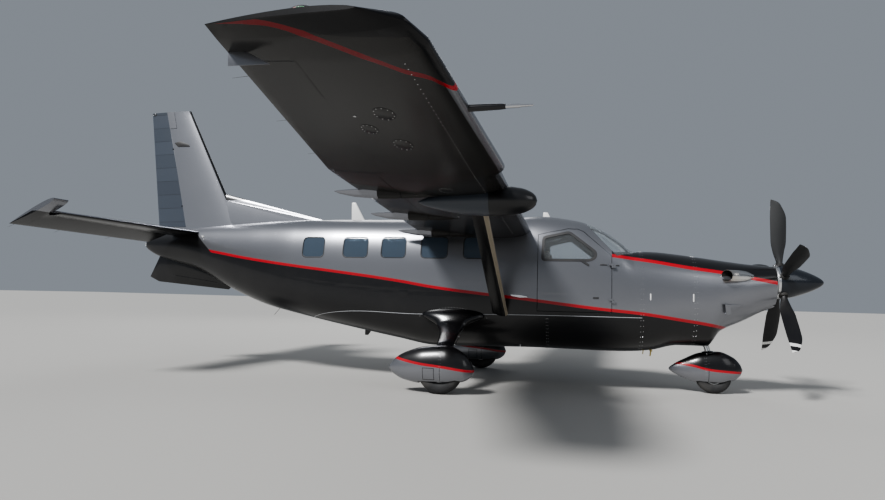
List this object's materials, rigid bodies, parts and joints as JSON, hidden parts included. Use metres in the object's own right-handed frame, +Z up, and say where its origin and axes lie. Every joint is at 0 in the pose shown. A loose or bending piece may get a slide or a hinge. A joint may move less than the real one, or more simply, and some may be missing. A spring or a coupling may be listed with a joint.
{
  "type": "single-engine turboprop plane",
  "caption": "High-wing utility plane with a propeller nose, strut-braced wing, belly cargo pod, cargo door, fixed tricycle gear with wheel fairings and moving control surfaces.",
  "frame": {"origin": "centre of the bounding box's base, on the ground under the plane", "axes": "+X to the nose, +Y to the left wing, +Z up"},
  "size_m": [11.5747, 13.716, 4.735],
  "materials": {
    "silver_paint": "metallic grey paint, gloss",
    "black_paint": "black paint, gloss",
    "slate_paint": "dark grey paint, satin",
    "trim_carpet": "dark carpet over board",
    "panel_plastic": "matt black",
    "leather": "satin",
    "clear_glass": "clear",
    "tinted_glass": "dark tint",
    "tyre_rubber": "matt",
    "wheel_alloy": "cast, satin",
    "polished_steel": "polished",
    "engine_steel": "bare metal"
  },
  "bodies": {
    "airframe": {"cowl_front": "silver_paint", "cowl_rear": "silver_paint", "cabin_shell": "silver_paint", "tail_cone": "silver_paint", "fin": "silver_paint", "belly_pod": "black_paint", "wing_left": "black_paint", "wing_right": "black_paint", "wing_strut_left": "black_paint", "wing_strut_right": "black_paint", "main_leg_left": "black_paint", "main_leg_right": "black_paint", "main_pant_left": "black_paint", "main_pant_right": "black_paint", "radar_pod": "black_paint", "ventral_fin": "black_paint", "stabiliser_left": "slate_paint", "stabiliser_right": "slate_paint", "cabin_floor": "trim_carpet", "instrument_panel": "panel_plastic", "crew_seat_left": "leather", "crew_seat_right": "leather", "cabin_seats": "leather", "windshield_left": "clear_glass", "windshield_right": "clear_glass", "cabin_windows_left": "tinted_glass", "cabin_windows_right": "tinted_glass", "exhaust_left": "polished_steel", "exhaust_right": "polished_steel", "pitot_boom": "polished_steel", "engine_block": "engine_steel"},
    "propeller": {"propeller": "slate_paint", "spinner": "slate_paint"},
    "nose_gear": {"nose_leg": "polished_steel", "nose_pant": "black_paint"},
    "nose_wheel": {"nose_tyre": "tyre_rubber", "nose_hub": "wheel_alloy"},
    "main_wheel_left": {"main_tyre_left": "tyre_rubber", "main_hub_left": "wheel_alloy"},
    "main_wheel_right": {"main_tyre_right": "tyre_rubber", "main_hub_right": "wheel_alloy"},
    "crew_door_left": {"crew_door_left": "silver_paint", "crew_door_glass_left": "clear_glass"},
    "crew_door_right": {"crew_door_right": "silver_paint", "crew_door_glass_right": "clear_glass"},
    "cargo_door_upper": {"cargo_door_upper": "silver_paint", "cargo_door_windows": "tinted_glass"},
    "cargo_door_lower": {"cargo_door_lower": "silver_paint"},
    "aileron_left": {"aileron_left": "black_paint"},
    "aileron_right": {"aileron_right": "black_paint"},
    "flap_left": {"flap_left": "black_paint"},
    "flap_right": {"flap_right": "black_paint"},
    "elevator": {"elevator": "slate_paint"},
    "rudder": {"rudder": "slate_paint"}
  },
  "joints": [
    {"name": "propeller_spin", "type": "hinge", "parent": "airframe", "child": "propeller", "pos_m": [5.19, 0, 1.667], "axis": [1, 0, 0], "continuous": true},
    {"name": "nose_steer", "type": "hinge", "parent": "airframe", "child": "nose_gear", "pos_m": [4.29, 0, 0.25], "axis": [-0.2288, 0, 0.9735], "range_deg": [-30, 30]},
    {"name": "nose_wheel_spin", "type": "hinge", "parent": "nose_gear", "child": "nose_wheel", "pos_m": [4.29, 0, 0.2489], "axis": [0, 1, 0], "continuous": true},
    {"name": "main_wheel_left_spin", "type": "hinge", "parent": "airframe", "child": "main_wheel_left", "pos_m": [0.51, 1.627, 0.31231], "axis": [0, 1, 0], "continuous": true},
    {"name": "main_wheel_right_spin", "type": "hinge", "parent": "airframe", "child": "main_wheel_right", "pos_m": [0.51, -1.627, 0.31231], "axis": [0, 1, 0], "continuous": true},
    {"name": "crew_door_left_hinge", "type": "hinge", "parent": "airframe", "child": "crew_door_left", "pos_m": [2.818, 0.712, 1.7], "axis": [0, 0, -1], "range_deg": [0, 85]},
    {"name": "crew_door_right_hinge", "type": "hinge", "parent": "airframe", "child": "crew_door_right", "pos_m": [2.818, -0.712, 1.7], "axis": [0, 0, 1], "range_deg": [0, 85]},
    {"name": "cargo_door_upper_hinge", "type": "hinge", "parent": "airframe", "child": "cargo_door_upper", "pos_m": [-0.87, 0.628, 2.378], "axis": [0.9996, 0.0271, 0], "range_deg": [0, 80]},
    {"name": "cargo_door_lower_hinge", "type": "hinge", "parent": "airframe", "child": "cargo_door_lower", "pos_m": [-0.87, 0.752, 1.15], "axis": [-0.9966, -0.0824, 0], "range_deg": [0, 120]},
    {"name": "aileron_left_hinge", "type": "hinge", "parent": "airframe", "child": "aileron_left", "pos_m": [0.45636, 4.15, 2.63016], "axis": [0.1069, 0.9916, 0.0726], "range_deg": [-18, 25]},
    {"name": "aileron_right_hinge", "type": "hinge", "parent": "airframe", "child": "aileron_right", "pos_m": [0.45636, -4.15, 2.63016], "axis": [0.1069, -0.9916, 0.0726], "range_deg": [-25, 18]},
    {"name": "flap_left_hinge", "type": "hinge", "parent": "airframe", "child": "flap_left", "pos_m": [0.366, 2.4, 2.38493], "axis": [0, -0.9973, -0.0738], "range_deg": [0, 35]},
    {"name": "flap_right_hinge", "type": "hinge", "parent": "airframe", "child": "flap_right", "pos_m": [0.366, -2.4, 2.38493], "axis": [0, -0.9973, 0.0738], "range_deg": [0, 35]},
    {"name": "elevator_hinge", "type": "hinge", "parent": "airframe", "child": "elevator", "pos_m": [-5.072, 0, 2.376], "axis": [0, 1, 0], "range_deg": [0, 50]},
    {"name": "rudder_hinge", "type": "hinge", "parent": "airframe", "child": "rudder", "pos_m": [-4.86, 0, 2.478], "axis": [-0.2497, 0, 0.9683], "range_deg": [-25, 25]}
  ]
}
